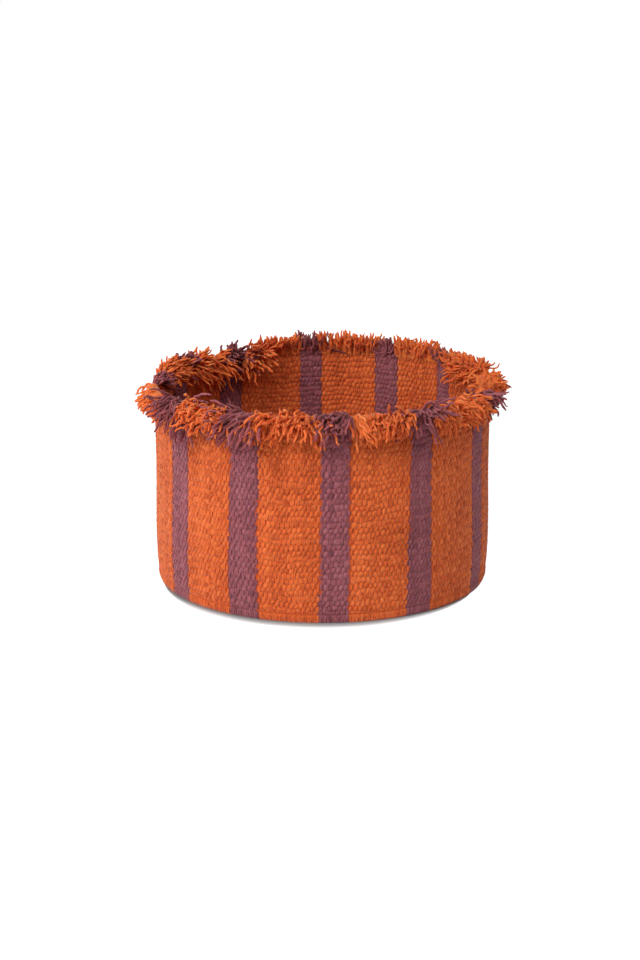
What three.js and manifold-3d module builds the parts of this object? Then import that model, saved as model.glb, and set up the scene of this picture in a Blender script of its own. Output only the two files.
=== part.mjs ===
// A round woven basket, open at the top, with a loose fringe round its rim.
// Millimetres, +Z up, the origin in the middle of the flat base, the front at -Y.
// The wall is one striped cloth: coloured yarns run up it side by side, and run out past the rim
// as the fringe. Each stripe is a band of yarns in one colour. Angles turn from the front to +X.
import * as THREE from "three";
import { mergeGeometries, mergeVertices } from "three/addons/utils/BufferGeometryUtils.js";
import Module from "manifold-3d";

const wasm = await Module();
wasm.setup();

// The wall
const wallRadius = 150;
const wallHeight = 175;
const wallThickness = 4.5;
const plumWidth = 25;
const hemRadius = 2;
const rimRadius = 1.2;

// Where the middle of each plum stripe is, in degrees. The cloth is woven by hand, so the stripes
// aren't quite evenly apart.
const plumAngles = [4.1, 33.2, 63.5, 95.5, 127.6, 154.5, 184.6, 217.1, 244.4, 271.6, 305.7, 334.2];

// The base, a round of cloth whose edge is turned up inside the wall
const baseThickness = 3.5;
const baseEdgeHeight = 12;
const baseBendRadius = 4;
const leastBendRadius = 0.5;

// The sewing
const threadThickness = 1;
const baseSeamHeight = 7.3;
const grooveDepth = 1;
const grooveFlare = 0.6;
const sideSeamStripe = 8;
const sideStitchLength = 5;
const sideStitchWidth = 4;
const sideStitchCurl = 0.3;

// The two yarns that lie along the rim, and the fringe ends that leave them
const rimYarnHeight = 2;
const strandThickness = 2;
const strandSpacing = 2.4;
const frontStrandLength = 26;
const backStrandLength = 18;
const strandLengthSpread = 3;
const strandClearance = 0.3;

// How far the fringe ends bend over, in degrees from upright, each with its random spread. Below
// 1, the power makes the drooping front take up more of the rim than the standing back.
const frontDroopAngle = 138;
const frontDroopSpreadAngle = 34;
const backDroopAngle = 26;
const backDroopSpreadAngle = 88;
const sidewaysSpreadAngle = 38;
const frontSharePower = 0.6;

// How finely round forms are cut, and the gap between pieces that touch
const orangeSteps = 4;
const plumSteps = 2;
const rimYarnSteps = 48;
const threadSides = 6;
const strandSides = 3;
const seatGap = 0.3;
const weldDistance = 0.0001;

// How a place is found for each fringe end: the step between the points that its distances are
// measured on, the angle within which the other ends are looked at, and the courses tried
const measureStep = 1;
const nearAngle = 20;
const courseTries = 900;

const innerRadius = wallRadius - wallThickness;
const gapSweep = seatGap / innerRadius;
const stripeCount = plumAngles.length;
const ringSteps = stripeCount * (orangeSteps + plumSteps);

// The bands of each colour: where the middle of each one is, and the angle that it takes up.
const plumSweep = plumWidth / wallRadius;
const plumBands = plumAngles.map((degrees) => {
  return { centre: THREE.MathUtils.degToRad(degrees), sweep: plumSweep };
});
const orangeBands = plumBands.map(({ centre }, i) => {
  const after = (i + 1) % stripeCount;
  const next = plumBands[after].centre + (after ? 0 : 2 * Math.PI);
  return { centre: (centre + next) / 2, sweep: next - centre - plumSweep };
});
const widestOrange = Math.max(...orangeBands.map((band) => band.sweep));

const cloth = { roughness: 0.95, metalness: 0 };
const orangeYarn = new THREE.MeshStandardMaterial({ color: 0xc85a2c, ...cloth });
const plumYarn = new THREE.MeshStandardMaterial({ color: 0x82464e, ...cloth });
const orangeThread = new THREE.MeshStandardMaterial({ color: 0xb64b20, ...cloth });

const basket = new THREE.Group();

function addPiece(parent, name, geometry, material) {
  const mesh = new THREE.Mesh(geometry, material);
  mesh.name = name;
  parent.add(mesh);
  return mesh;
}

// Joins faces into one closed skin: shared corners are merged, empty faces dropped, and the
// faces turned to point out.
function closedSkin(parts) {
  const bare = parts.map((part) => {
    const copy = part.clone();
    copy.deleteAttribute("normal");
    copy.deleteAttribute("uv");
    return copy;
  });
  const skin = mergeVertices(mergeGeometries(bare), weldDistance);
  const corners = skin.getAttribute("position");
  const [a, b, c] = [new THREE.Vector3(), new THREE.Vector3(), new THREE.Vector3()];
  const faces = [];
  let volume = 0;
  for (let i = 0; i < skin.index.count; i += 3) {
    const face = [0, 1, 2].map((k) => skin.index.getX(i + k));
    if (new Set(face).size === 3) {
      [a, b, c].forEach((corner, k) => corner.fromBufferAttribute(corners, face[k]));
      volume += a.dot(b.cross(c));
      faces.push(face);
    }
  }
  skin.setIndex(faces.flatMap((face) => (volume > 0 ? face : face.toReversed())));
  skin.computeVertexNormals();
  return skin;
}

// Turns a profile of (radius, height) corners about the upright axis, from -sweep/2 to sweep/2.
function turnedSector(profile, sweep, steps) {
  const outline = profile.map(([radius, height]) => new THREE.Vector2(radius, height));
  const skin = new THREE.LatheGeometry([...outline, outline[0]], steps, -sweep / 2, sweep);
  const start = new THREE.ShapeGeometry(new THREE.Shape(outline));
  const end = start.clone();
  end.setIndex([...end.index.array].reverse());
  start.rotateY(-sweep / 2 - Math.PI / 2);
  end.rotateY(sweep / 2 - Math.PI / 2);
  return closedSkin([skin, start, end]).rotateX(Math.PI / 2);
}

function turnedRing(profile, steps) {
  const outline = profile.map(([radius, height]) => new THREE.Vector2(radius, height));
  const skin = new THREE.LatheGeometry([...outline, outline[0]], steps);
  return closedSkin([skin]).rotateX(Math.PI / 2);
}

// Corners of a quarter turn about (radius, height), from one angle to the next.
function bend(radius, height, size, from, to, steps) {
  return Array.from({ length: steps + 1 }, (_, i) => {
    const angle = THREE.MathUtils.degToRad(from + ((to - from) * i) / steps);
    return [radius + size * Math.cos(angle), height + size * Math.sin(angle)];
  });
}

// The distance by which a flat facet lies inside the circle that its ends are on.
function facetDip(radius, sweep) {
  return radius * (1 - Math.cos(sweep / 2));
}

// A stripe of the wall, cut across: a rounded hem, the groove that the base seam pulls in, the
// upright face and the rim.
function wallProfile() {
  const halfGroove = threadThickness / 2 + seatGap;
  return [
    [innerRadius, rimRadius],
    [innerRadius + rimRadius, 0],
    ...bend(wallRadius - hemRadius, hemRadius, hemRadius, -90, 0, 2),
    [wallRadius, baseSeamHeight - halfGroove - grooveFlare],
    [wallRadius - grooveDepth, baseSeamHeight - halfGroove],
    [wallRadius - grooveDepth, baseSeamHeight + halfGroove],
    [wallRadius, baseSeamHeight + halfGroove + grooveFlare],
    [wallRadius, wallHeight - rimRadius],
    [wallRadius - rimRadius, wallHeight],
    [innerRadius + rimRadius, wallHeight],
    [innerRadius, wallHeight - rimRadius],
  ];
}

function wallBands(name, bands, steps, material) {
  const profile = wallProfile();
  bands.forEach(({ centre, sweep }, i) => {
    const number = String(i + 1).padStart(2, "0");
    const skin = turnedSector(profile, sweep - gapSweep, steps);
    addPiece(basket, `${name}_${number}`, skin, material).rotation.z = centre;
  });
}

// The base is a shallow dish: a flat round with its edge turned up against the wall.
const wallDip = Math.max(
  facetDip(innerRadius, widestOrange / orangeSteps),
  facetDip(innerRadius, plumSweep / plumSteps),
);
const baseRadius = innerRadius - wallDip - seatGap;

function baseCloth() {
  const inside = baseRadius - baseThickness;
  const insideBend = Math.max(baseBendRadius - baseThickness, leastBendRadius);
  const profile = [
    [0, 0],
    ...bend(baseRadius - baseBendRadius, baseBendRadius, baseBendRadius, -90, 0, 3),
    [baseRadius, baseEdgeHeight],
    [inside, baseEdgeHeight],
    ...bend(inside - insideBend, baseThickness + insideBend, insideBend, 0, -90, 1),
    [0, baseThickness],
  ];
  addPiece(basket, "base_cloth", turnedRing(profile, ringSteps), orangeYarn);
}

// A round of thread, with its middle at the given radius and height.
function threadRing(radius, height) {
  const lastCorner = 360 - 360 / threadSides;
  const profile = bend(radius, height, threadThickness / 2, 0, lastCorner, threadSides - 1);
  return turnedRing(profile, ringSteps);
}

// The base seam shows as a sunk line of thread outside, and as a second one on the turned-up
// edge of the base.
function baseSeam() {
  const dip = facetDip(wallRadius, (2 * Math.PI) / ringSteps);
  const outer = wallRadius - grooveDepth + seatGap + dip + threadThickness / 2;
  const inner = baseRadius - baseThickness - seatGap - threadThickness / 2;
  const innerHeight = (baseThickness + baseEdgeHeight) / 2;
  addPiece(basket, "base_seam_thread_outside", threadRing(outer, baseSeamHeight), orangeThread);
  addPiece(basket, "base_seam_thread_inside", threadRing(inner, innerHeight), orangeThread);
}

// The two ends of the wall cloth meet edge to edge, sewn with one zigzag thread on each face.
function zigzag(radius, from, to) {
  const stitches = Math.max(Math.round((to - from) / sideStitchLength), 1);
  const points = Array.from({ length: stitches + 1 }, (_, i) => {
    const side = ((i % 2 ? 1 : -1) * sideStitchWidth) / 2;
    const height = from + ((to - from) * i) / stitches;
    return new THREE.Vector3(side, -Math.sqrt(radius ** 2 - side ** 2), height);
  });
  const path = new THREE.CatmullRomCurve3(points, false, "catmullrom", sideStitchCurl);
  const half = threadThickness / 2;
  const section = new THREE.Shape([
    new THREE.Vector2(half, 0),
    new THREE.Vector2(0, half),
    new THREE.Vector2(-half, 0),
    new THREE.Vector2(0, -half),
  ]);
  const options = { steps: stitches * 2, bevelEnabled: false, extrudePath: path };
  return closedSkin([new THREE.ExtrudeGeometry(section, options)]);
}

function sideSeam() {
  const away = seatGap + threadThickness / 2;
  const seam = new THREE.Group();
  seam.rotation.z = plumBands[sideSeamStripe].centre + plumSweep / 2;
  basket.add(seam);
  const low = baseSeamHeight + sideStitchLength;
  const lowInside = baseEdgeHeight + threadThickness + seatGap;
  const high = wallHeight - rimRadius - threadThickness;
  const outside = zigzag(wallRadius + away, low, high);
  const inside = zigzag(innerRadius - away, lowInside, high);
  addPiece(seam, "side_seam_thread_outside", outside, orangeThread);
  addPiece(seam, "side_seam_thread_inside", inside, orangeThread);
}

// The same random numbers each time, from 0 to 1.
function randomFrom(seed) {
  let state = seed;
  return () => {
    state = (state + 0x6d2b79f5) | 0;
    let mixed = Math.imul(state ^ (state >>> 15), 1 | state);
    mixed = (mixed + Math.imul(mixed ^ (mixed >>> 7), 61 | mixed)) ^ mixed;
    return ((mixed ^ (mixed >>> 14)) >>> 0) / 4294967296;
  };
}
const random = randomFrom(23);
const spread = (amount) => amount * (2 * random() - 1);

// The rim yarns lie side by side on the edge of the wall: orange inside, plum outside.
const rimYarnWidth = (wallThickness - seatGap) / 2;
const rimBottom = wallHeight + seatGap;
const rimTop = rimBottom + rimYarnHeight;
const rimYarnRadius = {
  orange: innerRadius + rimYarnWidth / 2,
  plum: wallRadius - rimYarnWidth / 2,
};

// Each end's stretches: the share of its length, and the share of its droop that it has there.
const strandStretches = [
  [0.18, 0.1],
  [0.38, 0.65],
  [0.44, 1.2],
];
const strandSunk = 0.2;

function rimYarn(radius) {
  const half = rimYarnWidth / 2;
  return turnedRing(
    [
      [radius - half, rimBottom],
      [radius + half, rimBottom],
      [radius + half, rimTop],
      [radius - half, rimTop],
    ],
    rimYarnSteps,
  );
}

// One fringe end. It leaves the rim nearly upright and bends over by its droop: at the front the
// ends fall outwards, and towards the back they stand up or lean in.
function strandCourse(radius, angle) {
  const facing = ((1 + Math.cos(angle)) / 2) ** frontSharePower;
  const mean = THREE.MathUtils.lerp(backDroopAngle, frontDroopAngle, facing);
  const most = THREE.MathUtils.lerp(backDroopSpreadAngle, frontDroopSpreadAngle, facing);
  const droop = mean + spread(most);
  const sideways = THREE.MathUtils.degToRad(spread(sidewaysSpreadAngle));
  const usual = THREE.MathUtils.lerp(backStrandLength, frontStrandLength, facing);
  const length = usual + spread(strandLengthSpread);
  const out = new THREE.Vector3(Math.sin(angle), -Math.cos(angle), 0);
  const along = new THREE.Vector3(Math.cos(angle), Math.sin(angle), 0);
  const towards = out.clone().multiplyScalar(Math.cos(sideways));
  towards.addScaledVector(along, Math.sin(sideways) * Math.sign(droop));
  const point = out.clone().multiplyScalar(radius).setZ(rimBottom + strandSunk);
  const course = [point.clone()];
  for (const [share, turn] of strandStretches) {
    const tilt = THREE.MathUtils.degToRad(droop * turn);
    point.addScaledVector(towards, Math.sin(tilt) * length * share);
    point.z += Math.cos(tilt) * length * share;
    course.push(point.clone());
  }
  return course;
}

// Points along a course, to measure its distance to what is near.
function pointsAlong(course) {
  const points = [];
  for (let i = 1; i < course.length; i++) {
    const steps = Math.ceil(course[i].distanceTo(course[i - 1]) / measureStep);
    for (let k = 0; k < steps; k++) {
      points.push(course[i - 1].clone().lerp(course[i], k / steps));
    }
  }
  return [...points, course.at(-1).clone()];
}

function clearsWallAndRim(points, ownRadius) {
  const away = strandThickness / 2 + strandClearance;
  return points.every((point) => {
    const r = Math.hypot(point.x, point.y);
    if (r < innerRadius - away || r > wallRadius + away) {
      return true;
    }
    const overOwn = Math.abs(r - ownRadius) < rimYarnWidth / 2;
    return point.z > (overOwn ? rimBottom : rimTop + away);
  });
}

function leastGap(points, others) {
  let least = Infinity;
  for (const other of others) {
    for (const a of points) {
      for (const b of other) {
        least = Math.min(least, a.distanceToSquared(b));
      }
    }
  }
  return Math.sqrt(least) - strandThickness;
}

// A three-sided strand along a course. It starts at a point inside the rim yarn, which grips it.
function strandSkin(course) {
  const sides = strandSides;
  const corners = [...course[0].toArray()];
  let normal = new THREE.Vector3(course[0].x, course[0].y, 0).normalize();
  for (let i = 1; i < course.length; i++) {
    const after = course[Math.min(i + 1, course.length - 1)];
    const heading = after.clone().sub(course[i - 1]).normalize();
    normal = normal.clone().addScaledVector(heading, -normal.dot(heading)).normalize();
    const across = heading.clone().cross(normal);
    for (let k = 0; k < sides; k++) {
      const turn = (2 * Math.PI * k) / sides;
      const corner = course[i].clone();
      corner.addScaledVector(normal, (strandThickness / 2) * Math.cos(turn));
      corner.addScaledVector(across, (strandThickness / 2) * Math.sin(turn));
      corners.push(...corner.toArray());
    }
  }
  const at = (ring, k) => 1 + ring * sides + (k % sides);
  const last = course.length - 2;
  const faces = [at(last, 0), at(last, 1), at(last, 2)];
  for (let k = 0; k < sides; k++) {
    faces.push(0, at(0, k + 1), at(0, k));
    for (let ring = 0; ring < last; ring++) {
      faces.push(at(ring, k), at(ring, k + 1), at(ring + 1, k));
      faces.push(at(ring, k + 1), at(ring + 1, k + 1), at(ring + 1, k));
    }
  }
  const skin = new THREE.BufferGeometry();
  skin.setAttribute("position", new THREE.Float32BufferAttribute(corners, 3));
  skin.setIndex(faces);
  return skin;
}

function toSolid(skin) {
  return new wasm.Manifold(
    new wasm.Mesh({
      numProp: 3,
      vertProperties: new Float32Array(skin.getAttribute("position").array),
      triVerts: new Uint32Array(skin.index.array),
    }),
  );
}

function toGeometry(solid) {
  const mesh = solid.getMesh();
  const geometry = new THREE.BufferGeometry();
  geometry.setAttribute("position", new THREE.BufferAttribute(mesh.vertProperties, 3));
  geometry.setIndex(new THREE.BufferAttribute(mesh.triVerts, 1));
  geometry.computeVertexNormals();
  return geometry;
}

// Grows one colour's fringe: along each of its stripes the ends stand a set distance apart, and
// each takes the first random course that clears the wall, the other rim yarn and every end
// that stands already.
function growFringe(name, radius, bands, material, standing) {
  const nearCosine = Math.cos(THREE.MathUtils.degToRad(nearAngle));
  const gaps = [];
  let fringe = toSolid(rimYarn(radius));
  for (const { centre, sweep } of bands) {
    const perStripe = Math.max(Math.floor((sweep * radius) / strandSpacing), 1);
    for (let i = 0; i < perStripe; i++) {
      const share = (i + 0.5) / perStripe - 0.5;
      const angle = centre + share * sweep;
      const near = standing.filter((end) => Math.cos(end.angle - angle) > nearCosine);
      for (let t = 0; t < courseTries; t++) {
        const course = strandCourse(radius, angle);
        const points = pointsAlong(course);
        const gap = leastGap(points, near.map((end) => end.points));
        if (gap > strandClearance && clearsWallAndRim(points, radius)) {
          standing.push({ angle, points });
          fringe = fringe.add(toSolid(strandSkin(course)));
          gaps.push(gap);
          break;
        }
      }
    }
  }
  addPiece(basket, name, toGeometry(fringe), material);
  const least = Math.min(...gaps).toFixed(2);
  console.log(`${name}: ${gaps.length} ends, least gap ${least} mm`);
}

wallBands("wall_plum", plumBands, plumSteps, plumYarn);
wallBands("wall_orange", orangeBands, orangeSteps, orangeYarn);
baseCloth();
baseSeam();
sideSeam();
const standing = [];
growFringe("fringe_plum", rimYarnRadius.plum, plumBands, plumYarn, standing);
growFringe("fringe_orange", rimYarnRadius.orange, orangeBands, orangeYarn, standing);

export default basket;
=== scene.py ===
"""A round basket of thick woven cloth, orange with upright plum stripes and a fringe of yarn ends.

The cloth is built the way it is woven: coloured yarns run up the wall side by side, each over one
filling cord and under the next, and past the rim the same yarns hang loose as the fringe.
Everything is in metres. The front is at -Y, and angles turn from the front towards +X.
"""
import math

import bmesh
import bpy
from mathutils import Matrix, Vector


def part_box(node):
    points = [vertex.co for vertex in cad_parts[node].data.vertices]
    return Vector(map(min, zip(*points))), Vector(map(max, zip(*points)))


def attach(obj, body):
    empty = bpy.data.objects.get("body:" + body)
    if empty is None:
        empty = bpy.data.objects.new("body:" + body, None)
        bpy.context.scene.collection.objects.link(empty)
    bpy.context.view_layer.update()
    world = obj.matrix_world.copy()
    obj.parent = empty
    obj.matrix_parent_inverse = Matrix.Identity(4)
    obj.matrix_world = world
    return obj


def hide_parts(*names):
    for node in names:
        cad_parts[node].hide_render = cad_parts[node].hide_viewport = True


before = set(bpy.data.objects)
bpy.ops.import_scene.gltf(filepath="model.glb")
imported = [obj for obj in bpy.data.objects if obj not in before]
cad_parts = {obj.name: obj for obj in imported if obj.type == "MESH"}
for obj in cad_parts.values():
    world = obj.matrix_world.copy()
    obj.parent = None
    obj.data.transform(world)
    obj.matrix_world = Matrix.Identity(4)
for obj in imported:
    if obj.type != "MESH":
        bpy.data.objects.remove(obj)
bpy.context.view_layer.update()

MM = 0.001

# The wall's cloth. A float is the part of a yarn that lies over a cord, and a crossing is where it
# goes from one side of the cloth to the other.
STRIPES = 12
ROWS = 36
YARN_PITCH = 2.0 * MM
YARN_SIDES = 6
STEPS_PER_ROW = 4
FLOAT_SWELL = 0.5
FLAT_TOP = 0.45
EDGE_NARROWING = 0.45

# What is uneven in hand weaving. The rows drift up and down, by this many rows and at this rate
# from yarn to yarn and from row to row. Each yarn crosses a little early or late, and strays.
ROW_DRIFT = 2.0
DRIFT_PER_YARN = 0.08
DRIFT_PER_ROW = 0.15
LATENESS = 0.7
STRAY = 0.9 * MM

# The numbers of yarns, locks and ends times these are places in noise, so neighbours differ
DYE_SPREAD = 7.3
LATE_SPREAD = 4.7
FLOAT_SPREAD = 5.3
HEM_SPREAD = 3.3
LOCK_SPREAD = 3.7
END_SPREAD = 0.45

# How the wall stands out of a straight cylinder, and how its stripes waver
FLARE = 1 * MM
SAG = 1.8 * MM
SAG_HEIGHT = 40 * MM
SAG_REACH = 45 * MM
TUCK = 2.4 * MM
TUCK_REACH = 6 * MM
WAVER = 3 * MM
WAVER_ROUND = 4.0
WAVER_PER_METRE = 0.045 / MM

# The hem below the base seam, and the groove that the seam pulls in the cloth
HEM_BLEND_BELOW = 1 * MM
HEM_BLEND_ABOVE = 3 * MM
HEM_CURL_HEIGHT = 1.0 * MM
HEM_CURL_LOW = 1.1 * MM
HEM_CURL_HIGH = 1.7 * MM
HEM_HALF_WIDTH = 0.6
HEM_STRAY_SIDE = 2 * MM
HEM_STRAY_OUT = 1 * MM
GROOVE_HALF_WIDTH = 1.1 * MM

# The filling cords inside the cloth
CORD_CORE = 0.35 * MM
CORD_RIB = 0.45 * MM
CORD_STEPS_PER_ROW = 4
CORD_STEPS_ROUND = 180
CORD_LOW = 0.4 * MM
CORD_TOP_GAP = 1 * MM

# The base's cloth: the same yarn, woven a little thinner
BASE_SIDES = 4
BASE_STEPS_PER_ROW = 3
BASE_BEND_RADIUS = 4 * MM
SAME_PLACE = 0.02 * MM

# The fringe
ENDS_PER_YARN = 7
UPRIGHT_SHARE = 0.42
FULL_LENGTH_DROOP = math.radians(120)
MOST_DROOP = math.radians(168)
LOCK_GRIP = 0.28
WAVE_LENGTH = 9 * MM
CRIMP = 0.4 * MM
BEND_LENGTH = 1.9 * MM
FRINGE_STEPS = 15
FRINGE_SIDES = 5

# How freely its locks and ends lie. Few ends are wild, as a chance is raised to a high power.
LOCK_DROOP_WHIM = 0.7
END_DROOP_WHIM = 0.5
FEW = 7.0
WILD_DROOP = math.radians(20)
WILD_SIDE = 0.6
SIDE_WHIM = 0.3
LEAST_SIDE_REACH = 0.3
CLEAR_OF_RIM = 3 * MM
TIP_POWER = 14.0
TIP_NARROWING = 0.45


def linear(hex_colour):
    """A colour written as sRGB hex, as the linear colour that a node takes."""
    parts = [int(hex_colour[i : i + 2], 16) / 255 for i in (1, 3, 5)]
    return [p / 12.92 if p <= 0.04045 else ((p + 0.055) / 1.055) ** 2.4 for p in parts] + [1]


# Short names for the kinds of nodes that are used often, each with its usual settings. The inputs
# of a noise are a place, its scale and its detail. Those of a range are a value, the ends of the
# range that it comes from, and those of the one that it goes to. "*+" is a * b + c.
ATTRIBUTE = "GeometryNodeInputNamedAttribute"
STORE = "GeometryNodeStoreNamedAttribute"
KINDS = {
    "clamp": ("ShaderNodeClamp", {}),
    "combine": ("ShaderNodeCombineXYZ", {}),
    "mix": ("ShaderNodeMix", {}),
    "noise": ("ShaderNodeTexNoise", {}),
    "position": ("GeometryNodeInputPosition", {}),
    "random": ("FunctionNodeRandomValue", {}),
    "range": ("ShaderNodeMapRange", {}),
    "read": (ATTRIBUTE, {"data_type": "FLOAT"}),
    "read vector": (ATTRIBUTE, {"data_type": "FLOAT_VECTOR"}),
    "separate": ("ShaderNodeSeparateXYZ", {}),
    "set position": ("GeometryNodeSetPosition", {}),
    "smooth range": ("ShaderNodeMapRange", {"interpolation_type": "SMOOTHSTEP"}),
    "store": (STORE, {"data_type": "FLOAT", "domain": "POINT"}),
    "store vector": (STORE, {"data_type": "FLOAT_VECTOR", "domain": "POINT"}),
    "tube": ("GeometryNodeMeshCylinder", {}),
}
SIGNS = {"+": "ADD", "-": "SUBTRACT", "*": "MULTIPLY", "/": "DIVIDE", "*+": "MULTIPLY_ADD"}
for name in (
    *SIGNS, "ABSOLUTE", "ARCSINE", "COSINE", "EXPONENT", "FLOOR", "GREATER_THAN", "MAXIMUM",
    "MINIMUM", "POWER", "SIGN", "SINE", "SQRT",
):
    KINDS[name] = "ShaderNodeMath", {"operation": SIGNS.get(name, name)}
for operation in ("ADD", "LENGTH", "NORMALIZE", "SCALE", "SUBTRACT"):
    KINDS["VECTOR_" + operation] = "ShaderNodeVectorMath", {"operation": operation}


def adder(tree):
    """The function that adds nodes to this tree."""

    def add(kind, inputs=(), **settings):
        """Adds a node with its settings and links. Its kind is a short name or Blender's own. Its
        inputs come in order or by name, as numbers, sockets or nodes."""
        kind, usual = KINDS.get(kind, (kind, {}))
        node = tree.nodes.new(kind)
        for name, value in (usual | settings).items():
            setattr(node, name, value)
        shown = [socket for socket in node.inputs if socket.enabled]
        for key, value in inputs.items() if isinstance(inputs, dict) else enumerate(inputs):
            socket = shown[key] if isinstance(key, int) else next(s for s in shown if s.name == key)
            if isinstance(value, bpy.types.Node):
                value = next(s for s in value.outputs if s.enabled)
            if isinstance(value, bpy.types.NodeSocket):
                tree.links.new(value, socket)
            else:
                socket.default_value = value
        return node

    return add


def emptied(owner):
    """Gives a world or a material an empty tree of nodes, and returns what adds nodes to it."""
    owner.use_nodes = True
    owner.node_tree.nodes.clear()
    return adder(owner.node_tree)


# The camera, where a lens fitted to the photograph's rim and base ellipses puts it

CAMERA_PLACE = Vector((-2.1, -1452.3, 470.2)) * MM
CAMERA_TARGET = Vector((-2.1, 0, 84.4)) * MM
SENSOR = 36
FOCAL_PIXELS = 1650.7
PHOTO_HEIGHT = 960

camera = bpy.data.objects.new("camera", bpy.data.cameras.new("camera"))
bpy.context.scene.collection.objects.link(camera)
camera.location = CAMERA_PLACE
camera.rotation_euler = (CAMERA_TARGET - CAMERA_PLACE).to_track_quat("-Z", "Y").to_euler()
camera.data.sensor_width = SENSOR
camera.data.lens = FOCAL_PIXELS * SENSOR / PHOTO_HEIGHT
bpy.context.scene.camera = camera


# Light: a soft key from the left front above, weaker softboxes at the front and the right, and a
# low white card at each side and behind

LIGHT_TARGET = Vector((0, 0, 0.1))
ROOM_LIGHT = 0.045
SHADE_AT_FRONT = 14 * MM
SHADE_AT_SIDES = 0.5 * MM
SHADE_POWER = 4.5
FLOOR_HALF = 2

for name, place, size, watts in (
    ("key_softbox", (-1.5, -1.36, 1.6), 1.3, 48.5),
    ("right_softbox", (1.26, -1.26, 1.88), 1.3, 13.6),
    ("front_softbox", (-0.31, -1.75, 1.88), 1.3, 14.5),
    ("left_card", (-1.3, -0.5, 0.16), 0.5, 2.9),
    ("right_card", (1.3, -0.7, 0.28), 0.5, 1.45),
    ("back_card", (0.2, 1.5, 0.12), 0.8, 8),
):
    light = bpy.data.lights.new(name, "AREA")
    light.shape = "DISK"
    light.size = size
    light.energy = watts
    lamp = bpy.data.objects.new(name, light)
    bpy.context.scene.collection.objects.link(lamp)
    lamp.location = place
    lamp.rotation_euler = (LIGHT_TARGET - lamp.location).to_track_quat("-Z", "Y").to_euler()


def seen_directly(add):
    """1 for rays that show a thing as it is, to the camera or in gloss or glass, else 0."""
    path = add("ShaderNodeLightPath").outputs
    shown = add("MAXIMUM", [path["Is Camera Ray"], path["Is Glossy Ray"]])
    return add("MAXIMUM", [shown, path["Is Transmission Ray"]])


def pale_room():
    """White where it is seen, and only a faint light from all round."""
    world = bpy.data.worlds.new("pale_room")
    bpy.context.scene.world = world
    add = emptied(world)
    strength = add("range", [seen_directly(add), 0.0, 1.0, ROOM_LIGHT, 1.0])
    shade = add("ShaderNodeBackground", {"Color": linear("#FFFFFF"), "Strength": strength})
    add("ShaderNodeOutputWorld", [shade])


def studio_floor():
    """White paper, grey to the camera and nearly white to other rays. Its own light shows only to
    the camera, and fades by ambient occlusion where the basket's edge comes close, as a painted
    shadow, so that the paper is white up to the narrow shadow that the basket stands in."""
    material = bpy.data.materials.new("white_paper")
    add = emptied(material)
    spot = add("separate", [add("ShaderNodeTexCoord").outputs["Object"]]).outputs
    to_right = add("MAXIMUM", [spot["X"], 0.0])

    # The painted shadow is broad in front of the basket, a little less so at its right, and thin
    # beside it
    back = add("*+", [to_right, 0.2, spot["Y"]])
    reach = add("range", [back, -150 * MM, -45 * MM, SHADE_AT_FRONT, SHADE_AT_SIDES])
    # Painted shadow: the glow fades with ambient occlusion, whose hemisphere is tilted towards the
    # back
    shadow_occlusion = {"Distance": reach, "Normal": (0.0, 0.75, 0.66)}
    crevice = add("ShaderNodeAmbientOcclusion", shadow_occlusion, samples=16)
    open_paper = add("POWER", [crevice.outputs["AO"], SHADE_POWER])
    shown = seen_directly(add)
    glow = add("*", [shown, open_paper])
    greys = [shown, linear("#F4F4F4"), linear("#848484")]
    colour = add("mix", greys, data_type="RGBA")
    paper = add("ShaderNodeBsdfDiffuse", {"Color": colour})
    light = add("ShaderNodeEmission", {"Color": linear("#FFFFFF"), "Strength": glow})
    add("ShaderNodeOutputMaterial", [add("ShaderNodeAddShader", [paper, light])])

    mesh = bpy.data.meshes.new("floor")
    corners = [(x * FLOOR_HALF, y * FLOOR_HALF, 0) for x, y in ((-1, -1), (1, -1), (1, 1), (-1, 1))]
    mesh.from_pydata(corners, [], [(0, 1, 2, 3)])
    mesh.materials.append(material)
    floor = bpy.data.objects.new("floor", mesh)
    bpy.context.scene.collection.objects.link(floor)


pale_room()
studio_floor()
bpy.context.scene.view_settings.view_transform = "Standard"


# Materials. Patterns have the size of what they show: the length along which the dye drifts, the
# flecks that it leaves on the fibres, its clouds over the whole cloth, and the fibres.

DYE_DRIFT = 14 * MM
FLECK = 0.9 * MM
CLOUD = 55 * MM
FIBRE = 0.35 * MM
RIDGE_HEIGHT = 0.12 * MM


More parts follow.
